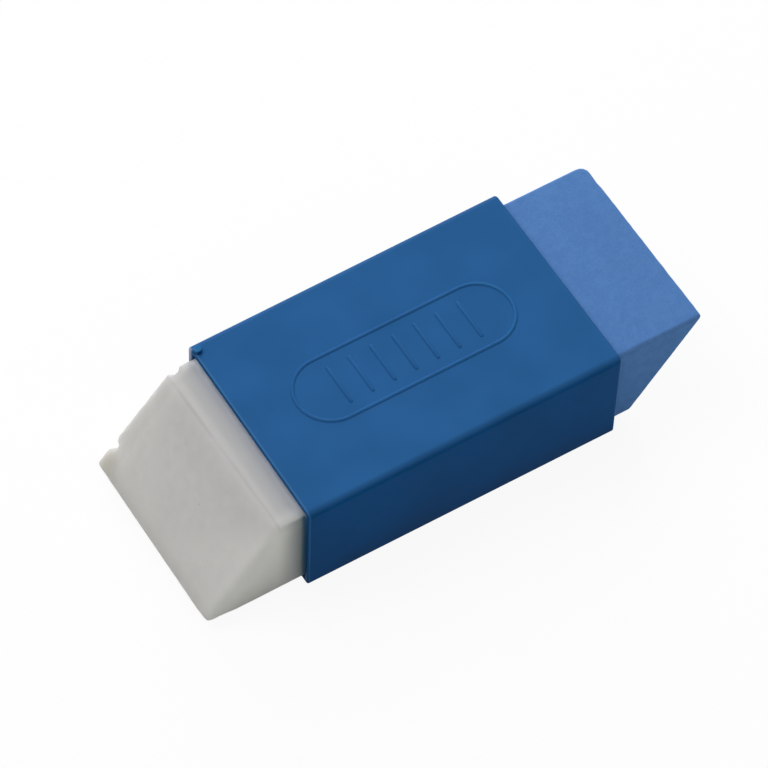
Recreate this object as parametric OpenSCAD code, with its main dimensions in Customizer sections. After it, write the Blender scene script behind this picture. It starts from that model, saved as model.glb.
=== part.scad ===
// Two-colour rubber eraser bar in a moulded plastic sleeve.
//
// The bar is a leaning block: seen from the side it is a parallelogram, so each end has one sharp
// edge for fine work. A white vinyl block and a blue rubber block are bonded end to end inside the
// sleeve, and the sleeve grips the bar and slides along it.
// X runs along the bar from the white end to the blue end, Y across it, Z up.
// The origin is under the middle of the bar, on the face that the sleeve stands on.

/* [Sleeve] */
// Length of the sleeve along the bar
sleeve_length = 37; // [30:0.5:42]
// Outside width at the narrow mouth, where the white end comes out
sleeve_width = 24; // [20:0.5:28]
// Outside height at the narrow mouth
sleeve_height = 13.15; // [11:0.05:16]
// Extra width and height at the other mouth, the draft that lets the core out of the mould
mouth_growth = 0.32; // [0:0.02:0.5]
// Thickness of the sleeve's wall
wall = 0.7; // [0.6:0.05:0.9]
// Outside radius of the two upper long edges
top_edge_r = 0.75; // [0.7:0.05:1.5]
// Outside radius of the two lower long edges
base_edge_r = 0.4; // [0.3:0.1:0.6]
// Radius on the outer rim of each mouth
rim_r = 0.15; // [0.05:0.05:0.25]
// How far the sleeve stands from the middle of the bar, towards the blue end
sleeve_offset = 0.5; // [-3:0.1:3]

/* [Thumb grip] */
// Length of the raised oval on top of the sleeve
grip_length = 26; // [20:0.5:30]
// Width of the raised oval
grip_width = 8.4; // [6:0.2:12]
// Number of ribs inside the oval
rib_count = 7; // [3:1:9]
// Distance from one rib to the next
rib_pitch = 2.6; // [1.5:0.1:3]
// Radius of the half-round beads that make the oval and the ribs
bead_r = 0.3; // [0.2:0.05:0.4]
// Height of the beads above the sleeve
bead_height = 0.12; // [0.08:0.01:0.18]

/* [Gate mark] */
// Radius of the stub that the moulding gate left at the back corner of the narrow mouth
gate_r = 0.5; // [0.3:0.1:0.8]
// Height of that stub
gate_height = 0.5; // [0.2:0.05:0.6]

/* [Bar] */
// Length of the bar from tip to tip
bar_length = 59.2; // [52:0.2:70]
// Lean of the white end face, away from upright
white_slant = 38; // [20:1:45]
// Lean of the blue end face, away from upright
blue_slant = 35.5; // [20:0.5:45]
// Clearance between the bar and the narrow mouth on every side
clearance = 0.08; // [0.05:0.01:0.2]
// Rounding of the bar's edges where they are still as cut
edge_r = 0.45; // [0.35:0.05:0.6]
// Rounding of the blue end's upper edges and front corners, which are nearly sharp
sharp_r = 0.3; // [0.2:0.05:0.35]
// Rounding of the blue end's upper back corner, seen from above
blue_corner_r = 1.1; // [0.5:0.1:1.5]

/* [Wear] */
// Rounding of the white end's upper back corner, rubbed down by use
worn_r = 1.3; // [0.6:0.1:2.2]
// Height up the slanted face at which the lower nick is deepest
nick_place = 4; // [2.5:0.1:6]
// Length of the lower nick along the edge
nick_length = 2.1; // [0.6:0.1:3]
// Depth of the lower nick across the face
nick_depth = 1.05; // [0.2:0.05:1.5]
// Radius of the bite out of the worn upper corner
bite_r = 0.5; // [0.3:0.05:0.8]
// Lean of the bite towards the front and towards the white end
bite_lean = 25; // [10:5:40]

/* [Hidden] */
$fn = 32;
// Facets round the thin beads
bead_fn = 16;
// Thickness of the outlines that a hull joins
skin = 0.01;
// Angle between the stations that round a rim or a corner
rim_step = 22.5;
// Radius inside the sleeve's two upper corners
inner_r = max(top_edge_r - wall, 0.1);
bar_width = sleeve_width - 2 * (wall + clearance);
bar_height = sleeve_height - 2 * (wall + clearance);
bar_base = wall + clearance;
bar_top = bar_base + bar_height;
// A rounded tip stops short of the sharp corner that its two faces would meet in
function tip_setback(r, slant) = r * (tan(slant) + 1 / cos(slant) - 1);
// Where the white end face meets the underside and the top, and the blue end face the top, as if
// their edges were sharp
white_toe = -bar_length / 2 - tip_setback(edge_r, white_slant);
white_ridge = white_toe + bar_height * tan(white_slant);
blue_toe = bar_length / 2 + tip_setback(sharp_r, blue_slant);
// Slope of the sleeve's top, from its draft
top_slope = atan(mouth_growth / sleeve_length);

// Flat outline standing on the X axis, with one radius above and another below
module outline(width, height, upper_r, lower_r) {
    hull() {
        for (side = [-1, 1]) {
            translate([side * (width / 2 - upper_r), height - upper_r]) circle(upper_r);
            translate([side * (width / 2 - lower_r), lower_r]) circle(lower_r);
        }
    }
}

// Stands a flat outline up across the bar, as a thin slice that starts at x
module across(x) {
    translate([x, 0, 0]) rotate([90, 0, 90]) linear_extrude(skin) children();
}

// The sleeve's outside, cut across at a share of its length and drawn in by inset
module outside(share, inset) {
    growth = mouth_growth * share;
    translate([0, inset])
        outline(sleeve_width + growth - 2 * inset, sleeve_height + growth - 2 * inset,
            top_edge_r, base_edge_r);
}

// The hole through the sleeve, which has the same draft as the outside
module hole(share) {
    growth = mouth_growth * share;
    translate([0, wall])
        outline(sleeve_width + growth - 2 * wall, sleeve_height + growth - 2 * wall,
            inner_r, inner_r / 2);
}

// Tube with rounded rims: the hull follows a quarter circle in stations at each mouth
module tube() {
    difference() {
        hull() {
            for (angle = [0 : rim_step : 90]) {
                depth = rim_r * (1 - cos(angle));
                inset = rim_r * (1 - sin(angle));
                across(depth) outside(0, inset);
                across(sleeve_length - depth - skin) outside(1, inset);
            }
        }
        hull() {
            across(-skin) hole(0);
            across(sleeve_length) hole(1);
        }
    }
}

// Half-round bead along Y with round ends, sunk so that bead_height of it stands out
module bead(length) {
    translate([0, -length / 2, 0]) rotate([-90, 0, 0]) cylinder(h = length, r = bead_r, $fn = bead_fn);
    for (side = [-1, 1]) translate([0, side * length / 2, 0]) sphere(bead_r, $fn = bead_fn);
}

// Raised oval with a row of short ribs in it, for the thumb
module thumb_grip() {
    end_r = grip_width / 2 - bead_r;
    straight = grip_length - grip_width;
    for (side = [-1, 1]) {
        translate([-straight / 2, side * end_r, 0]) rotate([0, 90, 0])
            cylinder(h = straight, r = bead_r, $fn = bead_fn);
        translate([side * straight / 2, 0, 0]) rotate([0, 0, -side * 90])
            rotate_extrude(angle = 180) translate([end_r, 0]) circle(bead_r, $fn = bead_fn);
    }
    for (i = [0 : rib_count - 1]) {
        translate([(i - (rib_count - 1) / 2) * rib_pitch, 0, 0]) bead(grip_width * 0.55);
    }
}

// Stub that was left where the plastic entered the mould
module gate_mark() {
    translate([gate_r * 0.7, sleeve_width / 2 - top_edge_r - gate_r * 0.8, sleeve_height - skin])
        cylinder(h = gate_height + skin, r1 = gate_r, r2 = gate_r * 0.8);
}

module sleeve() {
    color("steelblue") translate([sleeve_offset - sleeve_length / 2, 0, 0]) {
        tube();
        translate([sleeve_length / 2, 0, sleeve_height + mouth_growth / 2])
            rotate([0, -top_slope, 0]) translate([0, 0, bead_height - bead_r]) thumb_grip();
        gate_mark();
    }
}

// Ball that rounds a corner of the white end. It touches the side, the slanted face, and the
// underside (level 0) or the top (level 1). side is 1 at the back and -1 at the front.
module white_corner(side, level, r) {
    z = level == 0 ? bar_base + r : bar_top - r;
    x = white_toe + (z - bar_base) * tan(white_slant) + r / cos(white_slant);
    translate([x, side * (bar_width / 2 - r), z]) sphere(r);
}

// The same for the blue end, whose face leans out over its foot. in_x and in_y draw it in further.
module blue_corner(side, level, r, in_x = 0, in_y = 0) {
    z = level == 0 ? bar_base + r : bar_top - r;
    x = blue_toe - (bar_top - z) * tan(blue_slant) - r / cos(blue_slant);
    translate([x - in_x, side * (bar_width / 2 - r - in_y), z]) sphere(r);
}

// The blue end's upper back corner, rounded as seen from above, with its top edge left nearly sharp
module blue_round_corner() {
    swing = blue_corner_r - sharp_r;
    for (angle = [0 : rim_step : 90])
        blue_corner(1, 1, sharp_r, swing * (1 - cos(angle)), swing * (1 - sin(angle)));
}

// Thin slice of the bar's full section
module bar_section(x) {
    across(x) translate([0, bar_base]) outline(bar_width, bar_height, edge_r, edge_r);
}

// Places a child on the white end's back edge, at a height measured up the slanted face.
// There X points up the face, Y to the back and Z out of the face.
module on_white_edge(up) {
    translate([white_toe, bar_width / 2, bar_base]) rotate([0, white_slant - 90, 0])
        translate([up, 0, 0]) children();
}

// Nick in the lower edge and a bite out of the worn corner, both where rubber has torn away
module tears() {
    on_white_edge(nick_place) translate([0, 0, -2 * nick_depth]) linear_extrude(3 * nick_depth)
        polygon([[0, -nick_depth], [nick_length / 3, 0], [nick_length / 3, 1],
            [-nick_length * 2 / 3, 1], [-nick_length * 2 / 3, 0]]);
    translate([white_ridge + bite_r / 2, bar_width / 2 - 1.4 * bite_r, bar_top])
        rotate([bite_lean, -bite_lean, 0]) cylinder(h = 12 * bite_r, r = bite_r, center = true);
}

module white_block() {
    color("gainsboro") difference() {
        hull() {
            bar_section(-skin);
            white_corner(-1, 0, edge_r);
            white_corner(1, 0, edge_r);
            white_corner(-1, 1, edge_r);
            white_corner(1, 1, worn_r);
        }
        tears();
    }
}

module blue_block() {
    color("cornflowerblue") hull() {
        bar_section(0);
        blue_corner(-1, 0, sharp_r);
        blue_corner(1, 0, edge_r);
        blue_corner(-1, 1, sharp_r);
        blue_round_corner();
    }
}

sleeve();
white_block();
blue_block();
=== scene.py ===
"""A slant-ended block eraser in its moulded sleeve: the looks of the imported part, and a small studio."""

import math

import bmesh
import bpy
from mathutils import Matrix, Vector, noise


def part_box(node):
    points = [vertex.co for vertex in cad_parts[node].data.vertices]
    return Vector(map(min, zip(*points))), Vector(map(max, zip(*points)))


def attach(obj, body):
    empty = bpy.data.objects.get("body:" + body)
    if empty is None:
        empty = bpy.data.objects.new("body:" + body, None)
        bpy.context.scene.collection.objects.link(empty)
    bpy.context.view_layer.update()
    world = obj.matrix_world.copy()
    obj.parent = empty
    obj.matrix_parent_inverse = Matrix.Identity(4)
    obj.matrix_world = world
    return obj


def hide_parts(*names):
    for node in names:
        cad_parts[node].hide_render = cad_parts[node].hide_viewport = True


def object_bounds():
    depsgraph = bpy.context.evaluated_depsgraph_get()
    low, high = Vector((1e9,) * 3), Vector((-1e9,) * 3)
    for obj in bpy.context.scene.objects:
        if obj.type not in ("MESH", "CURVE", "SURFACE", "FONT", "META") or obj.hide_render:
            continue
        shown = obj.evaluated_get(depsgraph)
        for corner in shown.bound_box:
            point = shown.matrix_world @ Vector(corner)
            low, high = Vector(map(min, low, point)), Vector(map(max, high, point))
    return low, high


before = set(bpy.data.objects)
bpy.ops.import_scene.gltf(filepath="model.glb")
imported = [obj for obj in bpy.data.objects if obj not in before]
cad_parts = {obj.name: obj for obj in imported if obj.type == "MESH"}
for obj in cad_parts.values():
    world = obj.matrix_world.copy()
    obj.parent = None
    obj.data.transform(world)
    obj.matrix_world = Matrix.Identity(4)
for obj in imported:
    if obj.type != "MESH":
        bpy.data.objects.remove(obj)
cad_low, cad_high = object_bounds()

# --- White block ---------------------------------------------------------------------------------
# The soft half of the bar, for pencil: vinyl filled with chalk, pressed as a slab and cut on the
# slant. Light goes some millimetres into it, so its thin toe glows and it darkens by the sleeve.
# Use has rounded its upper back corner, and a thin grey line runs along its ridge.
MM = 0.001
rubber_grid = 0.19 * MM
touching = 0.001 * MM
white_edge_radius = 0.45 * MM
white_slant = math.radians(38)
white_tip, white_joint = (corner.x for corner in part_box("white_block"))
bar_low, bar_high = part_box("blue_block")
bar_height = bar_high.z - bar_low.z
toe_setback = white_edge_radius * (math.tan(white_slant) + 1 / math.cos(white_slant) - 1)
white_toe_x = white_tip - toe_setback
white_ridge_x = white_toe_x + bar_height * math.tan(white_slant)
slanted_face = Vector((-math.cos(white_slant), 0, math.sin(white_slant)))


def place_object(name, data):
    """A new object in the scene, at the origin, made of a mesh, a lamp or a lens."""
    placed = bpy.data.objects.new(name, data)
    bpy.context.scene.collection.objects.link(placed)
    return placed


def finish_piece(draft, name):
    """Turns a draft with its modifiers into a plain piece of that name, and clears the draft away."""
    shaped = draft.evaluated_get(bpy.context.evaluated_depsgraph_get())
    mesh = bpy.data.meshes.new_from_object(shaped)
    bpy.data.meshes.remove(draft.data)
    mesh.name = name
    return place_object(name, mesh)


def rubber_block(node, name, ease_rounds):
    """A closed copy of a CAD solid in small even faces, with its edges eased as rubber's are."""
    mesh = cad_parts[node].data.copy()
    mesh.materials.clear()
    shell = bmesh.new()
    shell.from_mesh(mesh)
    bmesh.ops.remove_doubles(shell, verts=shell.verts, dist=touching)
    shell.to_mesh(mesh)
    shell.free()
    draft = place_object(name + "_draft", mesh)
    even = draft.modifiers.new("even_faces", "REMESH")
    even.mode = "VOXEL"
    even.voxel_size = rubber_grid
    ease = draft.modifiers.new("eased_edges", "SMOOTH")
    ease.iterations = ease_rounds
    return finish_piece(draft, name)


def closeness(point, start, end, reach):
    """How close a point is to the line between two others: 1 on it, and 0 at that reach or further."""
    offset = point - start
    along = min(max(offset.dot(end - start) / (end - start).length_squared, 0), 1)
    return max(1 - (offset - (end - start) * along).length / reach, 0)


def push_edge(block, start, end, reach, push):
    """Moves a block's rubber along an edge by that push, which fades out at that reach."""
    fade = 1.5
    for vertex in block.data.vertices:
        vertex.co += push * closeness(vertex.co, start, end, reach) ** fade


def soften_edges(block, edges, rounds):
    """Rounds a block off further along each edge, given as its start, its end and how far it reaches."""
    near = block.vertex_groups.new(name="near_edges")
    for vertex in block.data.vertices:
        nearest = max(closeness(vertex.co, start, end, reach) for start, end, reach in edges)
        if nearest > 0:
            near.add([vertex.index], nearest, "REPLACE")
    soften = block.modifiers.new("softened_edges", "SMOOTH")
    soften.iterations = rounds
    soften.vertex_group = near.name
    return finish_piece(block, block.name)


def wear_surface(block, end_face, sway, sway_size, rag, rag_size):
    """Sinks a block's faces by a slow sway and its edges by a finer rag, all of it inwards.

    It returns how rounded the block is at each point, from 0 on a flat face to 1 on an edge.
    """
    flat_faces = [Vector((0, 1, 0)), Vector((0, -1, 0)), Vector((0, 0, 1)), Vector((0, 0, -1)), end_face]
    fully_round = 0.2
    noise_shift = Vector((7, 3, 5))
    rounded = []
    normals = [vertex.normal.copy() for vertex in block.data.vertices]
    for vertex, normal in zip(block.data.vertices, normals):
        flatness = max(normal.dot(face) for face in flat_faces)
        edge = min(max((1 - flatness) / fully_round, 0), 1)
        rounded.append(edge)
        slow = 0.5 + 0.5 * noise.noise(vertex.co / sway_size)
        fine = 0.5 + 0.5 * noise.noise(vertex.co / rag_size + noise_shift)
        vertex.co -= normal * (sway * slow + rag * edge * fine)
    block.data.shade_smooth()
    return rounded


def hex_colour(code):
    """An sRGB colour such as "#8090a0" as linear red, green, blue and alpha."""
    channels = [int(code[i : i + 2], 16) / 255 for i in (1, 3, 5)]
    return [c / 12.92 if c <= 0.04045 else ((c + 0.055) / 1.055) ** 2.4 for c in channels] + [1]


def add_node(tree, kind, settings, inputs):
    """Adds a node, with its settings, and its inputs by name or number: values, nodes or sockets."""
    node = tree.nodes.new(kind)
    for key, value in settings.items():
        setattr(node, key, value)
    for key, value in inputs.items():
        if isinstance(value, bpy.types.Node):
            value = value.outputs[0]
        if isinstance(value, bpy.types.NodeSocket):
            tree.links.new(value, node.inputs[key])
        else:
            node.inputs[key].default_value = value
    return node


def start_finish(name):
    """A new finish's material, its tree and its shader."""
    material = bpy.data.materials.new(name)
    material.use_nodes = True
    return material, material.node_tree, material.node_tree.nodes["Principled BSDF"]


white_block = rubber_block("white_block", "white_vinyl_block", ease_rounds=2)
front_toe = Vector((white_toe_x, bar_low.y, bar_low.z))
front_ridge = Vector((white_ridge_x, bar_low.y, bar_high.z))
back_ridge = Vector((white_ridge_x, bar_high.y - 2 * MM, bar_high.z))
front_joint = Vector((white_joint, bar_low.y, bar_high.z))
worn_edges = [
    (front_toe.lerp(front_ridge, 0.2), front_ridge, 3 * MM),
    (front_ridge, back_ridge, 2.2 * MM),
    (front_ridge, front_joint, 2.2 * MM),
]
white_block = soften_edges(white_block, worn_edges, rounds=120)
# Nothing has worn the lower front edge, so it is sharper than the rest
low_joint = Vector((white_joint, bar_low.y, bar_low.z))
push_edge(white_block, front_toe, low_joint, reach=0.7 * MM, push=Vector((0, -0.12, -0.12)) * MM)
wear_surface(white_block, slanted_face, sway=0.02 * MM, sway_size=6 * MM, rag=0.04 * MM, rag_size=1.1 * MM)

# Chalk-filled vinyl, pressed and cut: a soft matt white that scatters light deep under its skin. Its
# pressed sides are painted whitest, as painted light on the front, and its end greyer, as rubbing and as
# painted shade; it is warmer at the toe. Its top is painted bluish grey, as painted shade with a
# painted reflection of the sleeve's blue.
white_vinyl, tree, shader = start_finish("pressed_white_vinyl")
coordinates = add_node(tree, "ShaderNodeTexCoord", {}, {}).outputs
place = coordinates["Object"]
x, y, z = add_node(tree, "ShaderNodeSeparateXYZ", {}, {0: place}).outputs
facing_up = add_node(tree, "ShaderNodeSeparateXYZ", {}, {0: coordinates["Normal"]}).outputs[2]
# Settings that many nodes share. A Map Range takes its value at 0 and goes from the range at 1 and 2
# to the one at 3 and 4. A Mix takes its share at 0 and its colours at 6 and 7, and gives output 2.
soft = {"interpolation_type": "SMOOTHSTEP"}
colour = {"data_type": "RGBA"}
minus = {"operation": "SUBTRACT"}
times = {"operation": "MULTIPLY"}
# How far each point lies under the slanted end, the nearer side and the top. Which of them is the
# least says which face the point belongs to, with no seam where two faces meet.
offset = add_node(tree, "ShaderNodeVectorMath", minus, {0: place, 1: front_toe})
dot = {"operation": "DOT_PRODUCT"}
under_end = add_node(tree, "ShaderNodeVectorMath", dot, {0: offset, 1: -slanted_face}).outputs["Value"]
off_middle = add_node(tree, "ShaderNodeMath", {"operation": "ABSOLUTE"}, {0: y})
under_side = add_node(tree, "ShaderNodeMath", minus, {0: bar_high.y, 1: off_middle})
under_top = add_node(tree, "ShaderNodeMath", minus, {0: bar_high.z, 1: z})
clouds = add_node(tree, "ShaderNodeTexNoise", {}, {"Vector": place, "Scale": 1 / (5 * MM)})
mottle = add_node(tree, "ShaderNodeTexNoise", {}, {"Vector": place, "Scale": 1 / (1.2 * MM)})
grain = add_node(tree, "ShaderNodeTexNoise", {}, {"Vector": place, "Scale": 1 / (0.25 * MM), "Detail": 3.0})
flecks = add_node(tree, "ShaderNodeTexNoise", {}, {"Vector": place, "Scale": 1 / (0.45 * MM), "Detail": 1.0})
cloudy = add_node(tree, "ShaderNodeMapRange", soft, {0: clouds, 1: 0.3, 2: 0.7})
# The white of the sides is painted near full, as painted light on the front
base = add_node(
    tree, "ShaderNodeMix", colour, {0: cloudy, 6: hex_colour("#f4f5ed"), 7: hex_colour("#f8f9f1")}
)
# The top is painted grey as painted shade, and bluer away from the end as a painted reflection of the sleeve
on_top = add_node(tree, "ShaderNodeMath", minus, {0: under_side, 1: under_top})
on_top = add_node(tree, "ShaderNodeMapRange", soft, {0: on_top, 1: -2 * MM, 2: 2 * MM})
painted_sleeve_reflection = add_node(tree, "ShaderNodeMapRange", soft, {0: under_end, 1: 0.5 * MM, 2: 2 * MM})
top = add_node(
    tree, "ShaderNodeMix", colour, {0: painted_sleeve_reflection, 6: hex_colour("#afafaf"), 7: hex_colour("#acaeb3")}
)
base = add_node(tree, "ShaderNodeMix", colour, {0: on_top, 6: base.outputs[2], 7: top.outputs[2]})
end_by_side = add_node(tree, "ShaderNodeMath", minus, {0: under_side, 1: under_end})
end_by_side = add_node(tree, "ShaderNodeMapRange", soft, {0: end_by_side, 1: -2.5 * MM, 2: 2.5 * MM})
end_by_top = add_node(tree, "ShaderNodeMath", minus, {0: under_top, 1: under_end})
end_by_top = add_node(tree, "ShaderNodeMapRange", soft, {0: end_by_top, 1: -0.8 * MM, 2: 0.8 * MM})
on_end = add_node(tree, "ShaderNodeMath", times, {0: end_by_side, 1: end_by_top})
# The end is painted greyer in patches, as rubbing and as painted shade, and greyer still high up and towards
# the back, as painted shade
rubbed_and_shaded_end = add_node(tree, "ShaderNodeMapRange", soft, {0: mottle, 1: 0.2, 2: 0.8, 3: 0.85, 4: 1.0})
rubbed_and_shaded_end = add_node(tree, "ShaderNodeMath", times, {0: rubbed_and_shaded_end, 1: on_end})
shade_high_up = add_node(tree, "ShaderNodeMapRange", soft, {0: z, 1: 7 * MM, 2: 12 * MM})
shade_toward_back = add_node(tree, "ShaderNodeMapRange", soft, {0: y, 1: 3 * MM, 2: 10 * MM})
painted_shade_high_back = add_node(tree, "ShaderNodeMath", {"operation": "MAXIMUM"}, {0: shade_high_up, 1: shade_toward_back})
grey = add_node(tree, "ShaderNodeMix", colour, {0: painted_shade_high_back, 6: hex_colour("#dedcda"), 7: hex_colour("#d6d4d3")})
base = add_node(tree, "ShaderNodeMix", colour, {0: rubbed_and_shaded_end, 6: base.outputs[2], 7: grey.outputs[2]})
# Painted shade darkens the back edges of the end and the top. The edge of the toe is darker and
# browner, and the corner between them most of all
nearest = add_node(tree, "ShaderNodeMath", {"operation": "MINIMUM"}, {0: under_end, 1: under_top})
painted_shade_back = add_node(tree, "ShaderNodeMath", minus, {0: under_side, 1: nearest})
painted_shade_back = add_node(tree, "ShaderNodeMapRange", soft, {0: painted_shade_back, 1: -0.4 * MM, 2: 0.0})
back_strip = bar_high.y - 2.6 * MM
backmost = add_node(tree, "ShaderNodeMapRange", {}, {0: y, 1: back_strip, 2: bar_high.y, 3: 0.0, 4: 0.58})
painted_shade_back = add_node(tree, "ShaderNodeMath", times, {0: painted_shade_back, 1: backmost})
toe_strip = bar_low.z + 2 * MM
darker_toe_edge = add_node(tree, "ShaderNodeMapRange", soft, {0: z, 1: bar_low.z, 2: toe_strip, 3: 0.5, 4: 0.0})
darker_toe_edge = add_node(tree, "ShaderNodeMath", times, {0: darker_toe_edge, 1: on_end})
back_toe = Vector((white_toe_x, bar_high.y, bar_low.z))
off_corner = add_node(tree, "ShaderNodeVectorMath", {"operation": "DISTANCE"}, {0: place, 1: back_toe})
off_corner = off_corner.outputs["Value"]
darker_back_toe = add_node(
    tree, "ShaderNodeMapRange", soft, {0: off_corner, 1: 0.8 * MM, 2: 4.6 * MM, 3: 0.75, 4: 0.0}
)
warm_toe = add_node(tree, "ShaderNodeMapRange", soft, {0: z, 1: 0.8 * MM, 2: 6 * MM, 3: 0.3, 4: 0.0})
# Blue-grey painted shade on the sides by the sleeve, with a darker, bluer painted shadow of the gap
# close to the lip. It stops just under it, where the sleeve begins to grip
lip_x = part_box("sleeve")[0].x
painted_shade_by_sleeve = add_node(tree, "ShaderNodeMapRange", soft, {0: x, 1: lip_x - 3.4 * MM, 2: lip_x, 3: 0.0, 4: 0.88})
on_side = add_node(tree, "ShaderNodeMapRange", soft, {0: facing_up, 1: 0.3, 2: 0.8, 3: 1.0, 4: 0.0})
reached = add_node(tree, "ShaderNodeMapRange", soft, {0: x, 1: lip_x, 2: lip_x + 0.5 * MM, 3: 1.0, 4: 0.0})
on_side = add_node(tree, "ShaderNodeMath", times, {0: on_side, 1: reached})
painted_shade_by_sleeve = add_node(tree, "ShaderNodeMath", times, {0: painted_shade_by_sleeve, 1: on_side})
# A dark teal painted shadow of the gap between the white and the lip, in its last half millimetre
painted_gap_shadow = add_node(tree, "ShaderNodeMapRange", soft, {0: x, 1: lip_x - 0.5 * MM, 2: lip_x, 3: 0.0, 4: 0.8})
painted_gap_shadow = add_node(tree, "ShaderNodeMath", times, {0: painted_gap_shadow, 1: on_side})
# Painted light: the top is painted paler close to the lip, against the shade that the sleeve casts there
painted_light_by_lip = add_node(tree, "ShaderNodeMapRange", soft, {0: x, 1: lip_x - 0.8 * MM, 2: lip_x, 3: 0.0, 4: 0.9})
off_side = add_node(tree, "ShaderNodeMapRange", soft, {0: facing_up, 1: 0.7, 2: 0.98})
painted_light_by_lip = add_node(tree, "ShaderNodeMath", times, {0: painted_light_by_lip, 1: off_side})
# A thin grey line lies just before the ridge; it runs a little askew and fades in and out
crease_x = white_ridge_x - 0.17 * MM
askew = add_node(tree, "ShaderNodeMath", {"operation": "MULTIPLY_ADD"}, {0: y, 1: 0.02, 2: x})
off_crease = add_node(tree, "ShaderNodeMath", minus, {0: askew, 1: crease_x})
off_crease = add_node(tree, "ShaderNodeMath", {"operation": "ABSOLUTE"}, {0: off_crease})
crease = add_node(tree, "ShaderNodeMapRange", soft, {0: off_crease, 1: 0.0, 2: 0.26 * MM, 3: 1.0, 4: 0.0})
high_up = add_node(
    tree, "ShaderNodeMapRange", soft, {0: z, 1: bar_high.z - 1.2 * MM, 2: bar_high.z - 0.6 * MM}
)
patchy = add_node(tree, "ShaderNodeMapRange", soft, {0: clouds, 1: 0.35, 2: 0.65, 3: 0.05, 4: 0.25})
ridge_line = add_node(tree, "ShaderNodeMath", times, {0: crease, 1: high_up})
ridge_line = add_node(tree, "ShaderNodeMath", times, {0: ridge_line, 1: patchy})
specks = add_node(tree, "ShaderNodeMapRange", soft, {0: flecks, 1: 0.76, 2: 0.82, 3: 0.0, 4: 0.25})
# What is laid over the white, one after another: marks, painted shade and painted light, each with its share
# at each point and its colour
marks_and_painted_light = [
    (painted_shade_back, "#79797e"),
    (darker_toe_edge, "#a6a294"),
    (darker_back_toe, "#86837a"),
    (warm_toe, "#e4e0d6"),
    (painted_shade_by_sleeve, "#8e9799"),
    (painted_light_by_lip, "#c6cbd4"),
    (painted_gap_shadow, "#2f7f9c"),
    (ridge_line, "#8f8f8c"),
    (specks, "#8c8a86"),
]
for share, code in marks_and_painted_light:
    base = add_node(tree, "ShaderNodeMix", colour, {0: share, 6: base.outputs[2], 7: hex_colour(code)})
relief = add_node(tree, "ShaderNodeMath", {"operation": "MULTIPLY_ADD"}, {0: grain, 1: 0.4, 2: mottle})
bump = add_node(tree, "ShaderNodeBump", {}, {"Strength": 0.3, "Distance": 0.02 * MM, "Height": relief})
sheen = add_node(tree, "ShaderNodeMapRange", soft, {0: mottle, 1: 0.2, 2: 0.8, 3: 0.5, 4: 0.62})
tree.links.new(base.outputs[2], shader.inputs["Base Color"])
tree.links.new(sheen.outputs[0], shader.inputs["Roughness"])
tree.links.new(bump.outputs[0], shader.inputs["Normal"])
shader.inputs["IOR"].default_value = 1.53
shader.inputs["Subsurface Weight"].default_value = 1.0
shader.inputs["Subsurface Radius"].default_value = (1.0, 0.97, 0.9)
shader.inputs["Subsurface Scale"].default_value = 6 * MM

white_block.data.materials.append(white_vinyl)
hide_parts("white_block")
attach(white_block, "bar")

# --- Blue block ----------------------------------------------------------------------------------
# The firm half of the bar, for ink: synthetic rubber filled with fine pumice, bonded end to end to
# the vinyl in the press. The grit makes it dull and grainy, and its upper edge has been knocked in
# a little beside the back corner.
blue_slant = math.radians(35.5)
leaning_face = Vector((math.cos(blue_slant), 0, -math.sin(blue_slant)))
knock_start = Vector((bar_high.x, bar_high.y - 2.6 * MM, bar_high.z))
knock_end = Vector((bar_high.x, bar_high.y - 2.2 * MM, bar_high.z))

blue_block = rubber_block("blue_block", "blue_rubber_block", ease_rounds=1)
push_edge(blue_block, knock_start, knock_end, reach=0.9 * MM, push=Vector((-0.1, 0, 0)) * MM)
blue_edges = wear_surface(
    blue_block, leaning_face, sway=0.02 * MM, sway_size=5 * MM, rag=0.05 * MM, rag_size=0.8 * MM
)
edge_map = blue_block.data.attributes.new("rounded", "FLOAT", "POINT")
edge_map.data.foreach_set("value", blue_edges)

# Pumice-filled rubber, pressed: matt and grainy. Its sides are painted paler than its pressed top, as
# painted light, and its edges palest, partly as rubbing and partly as painted sheen.
blue_rubber, tree, shader = start_finish("pumice_filled_rubber")
coordinates = add_node(tree, "ShaderNodeTexCoord", {}, {}).outputs
place = coordinates["Object"]
facing_up = add_node(tree, "ShaderNodeSeparateXYZ", {}, {0: coordinates["Normal"]}).outputs[2]
rounded = add_node(tree, "ShaderNodeAttribute", {"attribute_name": "rounded"}, {}).outputs["Fac"]
clouds = add_node(tree, "ShaderNodeTexNoise", {}, {"Vector": place, "Scale": 1 / (6 * MM)})
mottle = add_node(tree, "ShaderNodeTexNoise", {}, {"Vector": place, "Scale": 1 / MM})
grain = add_node(tree, "ShaderNodeTexNoise", {}, {"Vector": place, "Scale": 1 / (0.22 * MM), "Detail": 3.0})
cloudy = add_node(tree, "ShaderNodeMapRange", soft, {0: clouds, 1: 0.3, 2: 0.7})
base = add_node(
    tree, "ShaderNodeMix", colour, {0: cloudy, 6: hex_colour("#558bca"), 7: hex_colour("#5b91d1")}
)
# The top is painted darker than the sides: painted shade on the top, painted light on the sides
on_top = add_node(tree, "ShaderNodeMapRange", soft, {0: facing_up, 1: 0.5, 2: 0.98})
shaded_blue_top = add_node(tree, "ShaderNodeMapRange", soft, {0: clouds, 1: 0.3, 2: 0.7, 3: 0.7, 4: 0.95})
shaded_blue_top = add_node(tree, "ShaderNodeMath", times, {0: shaded_blue_top, 1: on_top})
relief = add_node(tree, "ShaderNodeMath", {"operation": "ADD"}, {0: grain, 1: mottle})
specked = add_node(tree, "ShaderNodeMapRange", soft, {0: relief, 1: 0.75, 2: 1.25, 3: 0.0, 4: 0.36})
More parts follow.
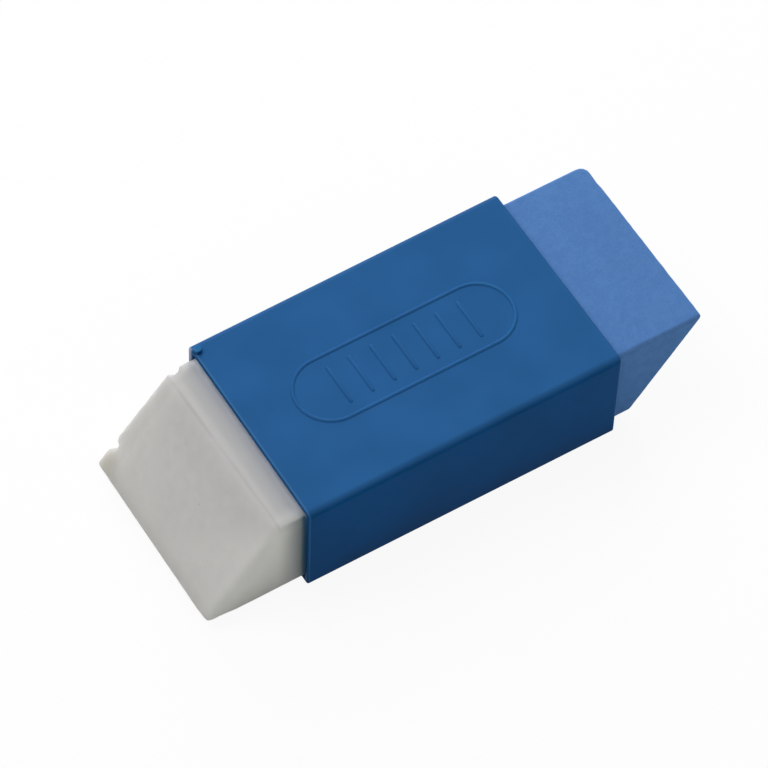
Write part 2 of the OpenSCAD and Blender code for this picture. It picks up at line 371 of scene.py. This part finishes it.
# The edges are painted paler, partly as rubbing and partly as painted sheen
pale = add_node(tree, "ShaderNodeMath", times, {0: rounded, 1: 0.12})
shades = [(shaded_blue_top, "#507dba"), (specked, "#3f6fae"), (pale, "#94b2e2")]
for share, code in shades:
    base = add_node(tree, "ShaderNodeMix", colour, {0: share, 6: base.outputs[2], 7: hex_colour(code)})
bump = add_node(tree, "ShaderNodeBump", {}, {"Strength": 0.6, "Distance": 0.02 * MM, "Height": relief})
sheen = add_node(tree, "ShaderNodeMapRange", soft, {0: grain, 1: 0.2, 2: 0.8, 3: 0.75, 4: 0.9})
tree.links.new(base.outputs[2], shader.inputs["Base Color"])
tree.links.new(sheen.outputs[0], shader.inputs["Roughness"])
tree.links.new(bump.outputs[0], shader.inputs["Normal"])
shader.inputs["IOR"].default_value = 1.52
shader.inputs["Specular IOR Level"].default_value = 0.25

blue_block.data.materials.append(blue_rubber)
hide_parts("blue_block")
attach(blue_block, "bar")

# --- Sleeve --------------------------------------------------------------------------------------
# An open tube that squeezes the bar and keeps fingers clean. It is injection moulded polypropylene,
# a little wider at the mouth that its core was drawn from, with a raised grip for the thumb on top
# and the stub of the gate at the back corner of the other mouth.
sleeve_low, sleeve_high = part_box("sleeve")
mould_draft = 0.32 * MM
wall = 0.7 * MM
gate_height = 0.5 * MM
gate_radius = 0.5 * MM
gate_top_radius = 0.85 * gate_radius
gate_top_round = 0.12 * MM
# The mouth stands just inside the CAD sleeve's box, almost level with the stub
box_margin = 0.02 * MM
sleeve_start = sleeve_low.x + box_margin
sleeve_length = sleeve_high.x - sleeve_start
mouth_width = sleeve_high.y - sleeve_low.y - mould_draft
mouth_height = sleeve_high.z - gate_height
top_radius = 0.75 * MM
base_radius = 0.4 * MM
inner_radius = 0.1 * MM
rim_radius = 0.22 * MM
lip_radius = 0.3 * MM
guard = 0.12 * MM
corner_steps = 12
rim_steps = 5
sharp_from = math.radians(32)
bead_sides = 16
end_steps = 20
grip_stands_out = 0.12 * MM
grip_sizes = {
    "Grip Length": 26 * MM,
    "Grip Width": 8.4 * MM,
    "Bead Radius": 0.3 * MM,
    "Rib Length": 5.22 * MM,
    "Rib Pitch": 2.6 * MM,
    "Rib Count": 7,
}


def sleeve_section(along, inset):
    """Points round the sleeve at a distance along it, that far inside its outer face.

    A guard point on each side of a corner keeps the flats flat when the tube is shaded smooth.
    """
    growth = mould_draft * along / sleeve_length
    half = (mouth_width + growth) / 2 - inset
    top = mouth_height + growth - inset
    upper = max(top_radius - inset, inner_radius)
    lower = max(base_radius - inset, inner_radius / 2)
    corners = [
        (half, top, upper, 0),
        (-half, top, upper, 90),
        (-half, inset, lower, 180),
        (half, inset, lower, 270),
    ]
    points = []
    for y, z, radius, first in corners:
        centre_y = y - math.copysign(radius, y)
        centre_z = z - radius if first < 180 else z + radius
        angles = [math.radians(first + 90 * step / corner_steps) for step in range(corner_steps + 1)]
        arc = [Vector((centre_y + radius * math.cos(a), centre_z + radius * math.sin(a))) for a in angles]
        before = Vector((math.sin(angles[0]), -math.cos(angles[0]))) * guard
        after = Vector((-math.sin(angles[-1]), math.cos(angles[-1]))) * guard
        points += [arc[0] + before, *arc, arc[-1] + after]
    return [Vector((sleeve_start + along, point.x, sleeve_low.z + max(point.y, 0))) for point in points]


def mouth_profile():
    """The wall's edge at a mouth, from outside to inside, as (depth into the sleeve, inset)."""
    quarter = [math.radians(90 * step / rim_steps) for step in range(rim_steps + 1)]
    rim = [(rim_radius * (1 - math.sin(a)), rim_radius * (1 - math.cos(a))) for a in quarter]
    lip = [(lip_radius * (1 - math.cos(a)), wall - lip_radius * (1 - math.sin(a))) for a in quarter]
    return [(rim_radius + guard, 0), *rim, *lip, (lip_radius + guard, wall)]


def sleeve_tube():
    """The plain tube, as sections that run out along it, round the wide mouth and back inside."""
    wide = [sleeve_section(sleeve_length - depth, inset) for depth, inset in mouth_profile()]
    narrow = [sleeve_section(depth, inset) for depth, inset in reversed(mouth_profile())]
    shell = bmesh.new()
    rings = [[shell.verts.new(point) for point in ring] for ring in wide + narrow]
    for ring, following in zip(rings, rings[1:] + rings[:1]):
        for i in range(len(ring)):
            j = (i + 1) % len(ring)
            shell.faces.new((ring[i], ring[j], following[j], following[i]))
    bmesh.ops.recalc_face_normals(shell, faces=shell.faces)
    mesh = bpy.data.meshes.new("sleeve_tube")
    shell.to_mesh(mesh)
    shell.free()
    return place_object("sleeve_tube", mesh)


def thumb_grip_tree():
    """Nodes that make a raised oval with a row of round-ended ribs in it, flat round its middle."""
    tree = bpy.data.node_groups.new("thumb_grip", "GeometryNodeTree")
    face = tree.interface
    face.new_socket("Geometry", in_out="INPUT", socket_type="NodeSocketGeometry")
    for name in ("Grip Length", "Grip Width", "Bead Radius", "Rib Length", "Rib Pitch"):
        face.new_socket(name, in_out="INPUT", socket_type="NodeSocketFloat")
    face.new_socket("Rib Count", in_out="INPUT", socket_type="NodeSocketInt")
    face.new_socket("Material", in_out="INPUT", socket_type="NodeSocketMaterial")
    face.new_socket("Geometry", in_out="OUTPUT", socket_type="NodeSocketGeometry")
    given = add_node(tree, "NodeGroupInput", {}, {}).outputs
    bead = given["Bead Radius"]

    # The oval: a box with its ends rounded to just short of half its width, where the corners' arcs
    # would meet, swept with a round bead
    end_share = 0.4999
    bead_width = add_node(tree, "ShaderNodeMath", times, {0: bead, 1: 2.0})
    width = add_node(tree, "ShaderNodeMath", minus, {0: given["Grip Width"], 1: bead_width})
    length = add_node(tree, "ShaderNodeMath", minus, {0: given["Grip Length"], 1: bead_width})
    box = add_node(tree, "GeometryNodeCurvePrimitiveQuadrilateral", {}, {"Width": length, "Height": width})
    turn = add_node(tree, "ShaderNodeMath", times, {0: width, 1: end_share})
    oval = add_node(
        tree, "GeometryNodeFilletCurve", {"mode": "POLY"}, {"Curve": box, "Count": end_steps, "Radius": turn}
    )
    round_bead = {"Resolution": bead_sides, "Radius": bead}
    circle = add_node(tree, "GeometryNodeCurvePrimitiveCircle", {}, round_bead)
    ring = add_node(tree, "GeometryNodeCurveToMesh", {}, {"Curve": oval, "Profile Curve": circle})

    # One rib: a ball pulled apart at its waist, then laid across the grip. An odd number of rings
    # leaves no point at the waist itself
    ball_rings = 11
    ball = add_node(
        tree, "GeometryNodeMeshUVSphere", {}, {"Segments": bead_sides, "Rings": ball_rings, "Radius": bead}
    )
    point = add_node(tree, "GeometryNodeInputPosition", {}, {})
    height = add_node(tree, "ShaderNodeSeparateXYZ", {}, {0: point}).outputs[2]
    way = add_node(tree, "ShaderNodeMath", {"operation": "SIGN"}, {0: height})
    half_length = add_node(tree, "ShaderNodeMath", times, {0: given["Rib Length"], 1: 0.5})
    straight = add_node(tree, "ShaderNodeMath", minus, {0: half_length, 1: bead})
    pull = add_node(tree, "ShaderNodeMath", times, {0: way, 1: straight})
    pull = add_node(tree, "ShaderNodeCombineXYZ", {}, {2: pull})
    rib = add_node(tree, "GeometryNodeSetPosition", {}, {"Geometry": ball, "Offset": pull})

    # The row: one rib at each pitch, centred on the oval
    gaps = add_node(tree, "ShaderNodeMath", minus, {0: given["Rib Count"], 1: 1.0})
    span = add_node(tree, "ShaderNodeMath", times, {0: gaps, 1: given["Rib Pitch"]})
    first = add_node(tree, "ShaderNodeMath", times, {0: span, 1: -0.5})
    start = add_node(tree, "ShaderNodeCombineXYZ", {}, {0: first})
    step = add_node(tree, "ShaderNodeCombineXYZ", {}, {0: given["Rib Pitch"]})
    places = {"Count": given["Rib Count"], "Start Location": start, "Offset": step}
    row = add_node(tree, "GeometryNodeMeshLine", {}, places)
    across = (math.radians(90), 0, 0)
    laid = {"Points": row, "Instance": rib, "Rotation": across}
    ribs = add_node(tree, "GeometryNodeInstanceOnPoints", {}, laid)

    both = add_node(tree, "GeometryNodeJoinGeometry", {}, {0: ring})
    tree.links.new(ribs.outputs[0], both.inputs[0])
    real = add_node(tree, "GeometryNodeRealizeInstances", {}, {0: both})
    painted = add_node(tree, "GeometryNodeSetMaterial", {}, {"Geometry": real, "Material": given["Material"]})
    add_node(tree, "NodeGroupOutput", {}, {0: painted})
    return tree


def thumb_grip(material):
    """The raised grip as a plain piece, laid on the sloping top and sunk so that little stands out."""
    blank = place_object("thumb_grip_draft", bpy.data.meshes.new("thumb_grip_draft"))
    grown = blank.modifiers.new("thumb_grip", "NODES")
    grown.node_group = thumb_grip_tree()
    for item in grown.node_group.interface.items_tree:
        if item.name in grip_sizes:
            grown[item.identifier] = grip_sizes[item.name]
        if item.name == "Material":
            grown[item.identifier] = material
    grip = finish_piece(blank, "thumb_grip")
    slope = math.atan(mould_draft / sleeve_length)
    middle = Vector((sleeve_start + sleeve_length / 2, 0, mouth_height + mould_draft / 2))
    sink = Matrix.Translation((0, 0, grip_stands_out - grip_sizes["Bead Radius"]))
    grip.data.transform(Matrix.Translation(middle) @ Matrix.Rotation(-slope, 4, "Y") @ sink)
    return grip


def gate_stub():
    """The stub that was left when the runner was snapped off: a low peg with a rounded top."""
    shell = bmesh.new()
    bmesh.ops.create_cone(
        shell,
        cap_ends=True,
        segments=32,
        radius1=gate_radius,
        radius2=gate_top_radius,
        depth=2 * gate_height,
    )
    rim = [edge for edge in shell.edges if all(vertex.co.z > 0 for vertex in edge.verts)]
    bmesh.ops.bevel(shell, geom=rim, offset=gate_top_round, segments=4, profile=0.6, affect="EDGES")
    across = mouth_width / 2 - top_radius - 0.8 * gate_radius
    place = Vector((sleeve_low.x + gate_radius, across, mouth_height))
    bmesh.ops.translate(shell, verts=shell.verts, vec=place)
    mesh = bpy.data.meshes.new("gate_stub")
    shell.to_mesh(mesh)
    shell.free()
    return place_object("gate_stub", mesh)


# Injection moulded polypropylene in a strong blue, from a finely blasted mould: it mirrors next to
# nothing, so its colour stays deep, and its sheen is painted instead: the top paler and greyer than the
# sides, and a painted highlight along the rim of the narrow mouth. The pigment has faint clouds, the
# face a slight ripple, and the end of the wall at the corner where the gate was snapped off is pale.
sleeve_plastic, tree, shader = start_finish("moulded_polypropylene")
coordinates = add_node(tree, "ShaderNodeTexCoord", {}, {}).outputs
place = coordinates["Object"]
x, y, z = add_node(tree, "ShaderNodeSeparateXYZ", {}, {0: place}).outputs
facing_up = add_node(tree, "ShaderNodeSeparateXYZ", {}, {0: coordinates["Normal"]}).outputs[2]
clouds = add_node(tree, "ShaderNodeTexNoise", {}, {"Vector": place, "Scale": 1 / (7 * MM)})
ripple = add_node(tree, "ShaderNodeTexNoise", {}, {"Vector": place, "Scale": 1 / (2.2 * MM), "Detail": 1.0})
fine = add_node(tree, "ShaderNodeTexNoise", {}, {"Vector": place, "Scale": 1 / (0.3 * MM), "Detail": 3.0})
cloudy = add_node(tree, "ShaderNodeMapRange", soft, {0: clouds, 1: 0.3, 2: 0.7})
sides = add_node(
    tree, "ShaderNodeMix", colour, {0: cloudy, 6: hex_colour("#00508c"), 7: hex_colour("#005595")}
)
top = add_node(
    tree, "ShaderNodeMix", colour, {0: cloudy, 6: hex_colour("#295e95"), 7: hex_colour("#2c639c")}
)
# Painted sheen: the top is painted paler and greyer than the sides
painted_top_sheen = add_node(tree, "ShaderNodeMapRange", soft, {0: facing_up, 1: 0.1, 2: 0.9})
base = add_node(tree, "ShaderNodeMix", colour, {0: painted_top_sheen, 6: sides.outputs[2], 7: top.outputs[2]})
snapped = mouth_height + 0.6 * gate_height
strained = add_node(
    tree, "ShaderNodeMapRange", soft, {0: z, 1: snapped, 2: snapped + 0.15 * MM, 3: 0.0, 4: 0.8}
)
# A painted highlight along the rim of the narrow mouth
rim_highlight_width = 0.17 * MM
off_rim = add_node(tree, "ShaderNodeMath", minus, {0: x, 1: sleeve_start + rim_highlight_width})
off_rim = add_node(tree, "ShaderNodeMath", {"operation": "ABSOLUTE"}, {0: off_rim})
painted_rim_highlight = add_node(tree, "ShaderNodeMapRange", soft, {0: off_rim, 1: 0.0, 2: rim_highlight_width, 3: 0.35, 4: 0.0})
# The pale lavender mark is on the end of the wall alone, below the stub
gate_place = Vector((sleeve_start, mouth_width / 2 - 1 * MM, mouth_height))
from_gate = add_node(tree, "ShaderNodeVectorMath", {"operation": "DISTANCE"}, {0: place, 1: gate_place})
from_gate = from_gate.outputs["Value"]
lip_end = sleeve_start + 0.2 * MM
on_lip = add_node(tree, "ShaderNodeMapRange", soft, {0: x, 1: sleeve_start, 2: lip_end, 3: 1.0, 4: 0.0})
back_wall = mouth_width / 2 - wall
on_back = add_node(tree, "ShaderNodeMapRange", soft, {0: y, 1: back_wall - 0.1 * MM, 2: back_wall + 0.1 * MM})
pale_wall_end = add_node(tree, "ShaderNodeMapRange", soft, {0: from_gate, 1: 1.6 * MM, 2: 3 * MM, 3: 0.7, 4: 0.0})
pale_wall_end = add_node(tree, "ShaderNodeMath", times, {0: pale_wall_end, 1: on_lip})
pale_wall_end = add_node(tree, "ShaderNodeMath", times, {0: pale_wall_end, 1: on_back})
# Marks and a painted highlight laid over the blue, one after another
marks_and_painted_light = [(strained, "#2b72a8"), (painted_rim_highlight, "#5a8fc0"), (pale_wall_end, "#c3cae6")]
for share, code in marks_and_painted_light:
    base = add_node(tree, "ShaderNodeMix", colour, {0: share, 6: base.outputs[2], 7: hex_colour(code)})
relief = add_node(tree, "ShaderNodeMath", {"operation": "MULTIPLY_ADD"}, {0: fine, 1: 0.12, 2: ripple})
bump = add_node(tree, "ShaderNodeBump", {}, {"Strength": 0.25, "Distance": 0.02 * MM, "Height": relief})
sheen = add_node(tree, "ShaderNodeMapRange", soft, {0: fine, 1: 0.2, 2: 0.8, 3: 0.3, 4: 0.38})
tree.links.new(base.outputs[2], shader.inputs["Base Color"])
tree.links.new(sheen.outputs[0], shader.inputs["Roughness"])
tree.links.new(bump.outputs[0], shader.inputs["Normal"])
shader.inputs["IOR"].default_value = 1.49
shader.inputs["Specular IOR Level"].default_value = 0.015

tube = sleeve_tube()
additions = [thumb_grip(sleeve_plastic), gate_stub()]
for addition in additions:
    moulded_on = tube.modifiers.new("joined_" + addition.name, "BOOLEAN")
    moulded_on.operation = "UNION"
    moulded_on.object = addition
    moulded_on.solver = "MANIFOLD"
sleeve = finish_piece(tube, "moulded_sleeve")
for addition in additions:
    bpy.data.objects.remove(addition)
sleeve.data.shade_smooth()
sleeve.data.set_sharp_from_angle(angle=sharp_from)

sleeve.data.materials.clear()
sleeve.data.materials.append(sleeve_plastic)
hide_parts("sleeve")
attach(sleeve, "sleeve")

# --- Table and lights ----------------------------------------------------------------------------
# A white table top in a dim pale room. One broad soft lamp stands low behind the blue end, and one
# hangs above and behind the white end. A weak one and what the table throws back light the front.
half_table = 0.8
glow_share = 0.92
room_light = 0.12
lamp_distance = 0.5
lamp_size = 0.35


def shows_background(tree):
    """1 for the rays that look, straight or in gloss or glass, and 0 for those that light the object."""
    rays = add_node(tree, "ShaderNodeLightPath", {}, {}).outputs
    either = {"operation": "MAXIMUM"}
    indirect = {0: rays["Is Glossy Ray"], 1: rays["Is Transmission Ray"]}
    seen = add_node(tree, "ShaderNodeMath", either, indirect)
    return add_node(tree, "ShaderNodeMath", either, {0: seen, 1: rays["Is Camera Ray"]})


table_mesh = bpy.data.meshes.new("table_top")
table_corners = [Vector((x, y, 0)) * half_table for x, y in ((-1, -1), (1, -1), (1, 1), (-1, 1))]
table_mesh.from_pydata(table_corners, [], [(0, 1, 2, 3)])
table = place_object("table_top", table_mesh)
paint = bpy.data.materials.new("white_table_paint")
paint.use_nodes = True
tree = paint.node_tree
tree.nodes.clear()
seen = shows_background(tree)
shade = add_node(tree, "ShaderNodeMix", colour, {0: seen, 6: hex_colour("#e6e6e4"), 7: hex_colour("#ffffff")})
matt = add_node(tree, "ShaderNodeBsdfDiffuse", {}, {"Color": shade.outputs[2]})
glow = add_node(tree, "ShaderNodeEmission", {}, {"Color": (1, 1, 1, 1), "Strength": 1.0})
share = add_node(tree, "ShaderNodeMath", times, {0: seen, 1: glow_share})
shown = add_node(tree, "ShaderNodeMixShader", {}, {0: share, 1: matt, 2: glow})
add_node(tree, "ShaderNodeOutputMaterial", {}, {"Surface": shown})
table.data.materials.append(paint)

world = bpy.data.worlds.new("pale_room")
bpy.context.scene.world = world
world.use_nodes = True
tree = world.node_tree
tree.nodes.clear()
room = add_node(tree, "ShaderNodeBackground", {}, {"Color": (1, 1, 1, 1), "Strength": room_light})
blank = add_node(tree, "ShaderNodeBackground", {}, {"Color": (1, 1, 1, 1), "Strength": 1.0})
both = add_node(tree, "ShaderNodeMixShader", {}, {0: shows_background(tree), 1: room, 2: blank})
add_node(tree, "ShaderNodeOutputWorld", {}, {"Surface": both})


def soft_lamp(name, direction, power):
    """A square lamp in that direction from the origin, turned to face it."""
    lamp = bpy.data.lights.new(name, "AREA")
    lamp.shape = "SQUARE"
    lamp.size = lamp_size
    lamp.energy = power
    holder = place_object(name, lamp)
    holder.location = Vector(direction).normalized() * lamp_distance
    holder.rotation_euler = Vector(direction).to_track_quat("Z", "Y").to_euler()


soft_lamp("window_lamp", (0.45, 0.78, 0.43), power=1.6)
soft_lamp("ceiling_lamp", (-0.3, 0.4, 0.87), power=1.4)
soft_lamp("room_lamp", (0.3, -0.6, 0.74), power=0.36)

# --- Camera --------------------------------------------------------------------------------------
# A long lens half a metre off, from the front and the white end's side, looking well down. It is
# held a little askew and aims a little off the middle, towards the back of the white end.
azimuth = math.radians(-33.47)
elevation = math.radians(56.24)
roll = math.radians(2.4)
distance = 0.4803
focal_length = 218.2
middle = (cad_low + cad_high) / 2
aim = Vector((middle.x - 0.98 * MM, middle.y + 1.41 * MM, 6.6 * MM))
flat = math.cos(elevation)
back = Vector((math.sin(azimuth) * flat, -math.cos(azimuth) * flat, math.sin(elevation)))
lens = bpy.data.cameras.new("camera")
lens.sensor_width = 36
lens.lens = focal_length
lens.clip_start = 0.01
lens.clip_end = 10
camera = place_object("camera", lens)
camera.location = aim + back * distance
camera.rotation_mode = "QUATERNION"
camera.rotation_quaternion = (-back).to_track_quat("-Z", "Y") @ Matrix.Rotation(roll, 3, "Z").to_quaternion()
bpy.context.scene.camera = camera
bpy.context.scene.view_settings.view_transform = "Standard"
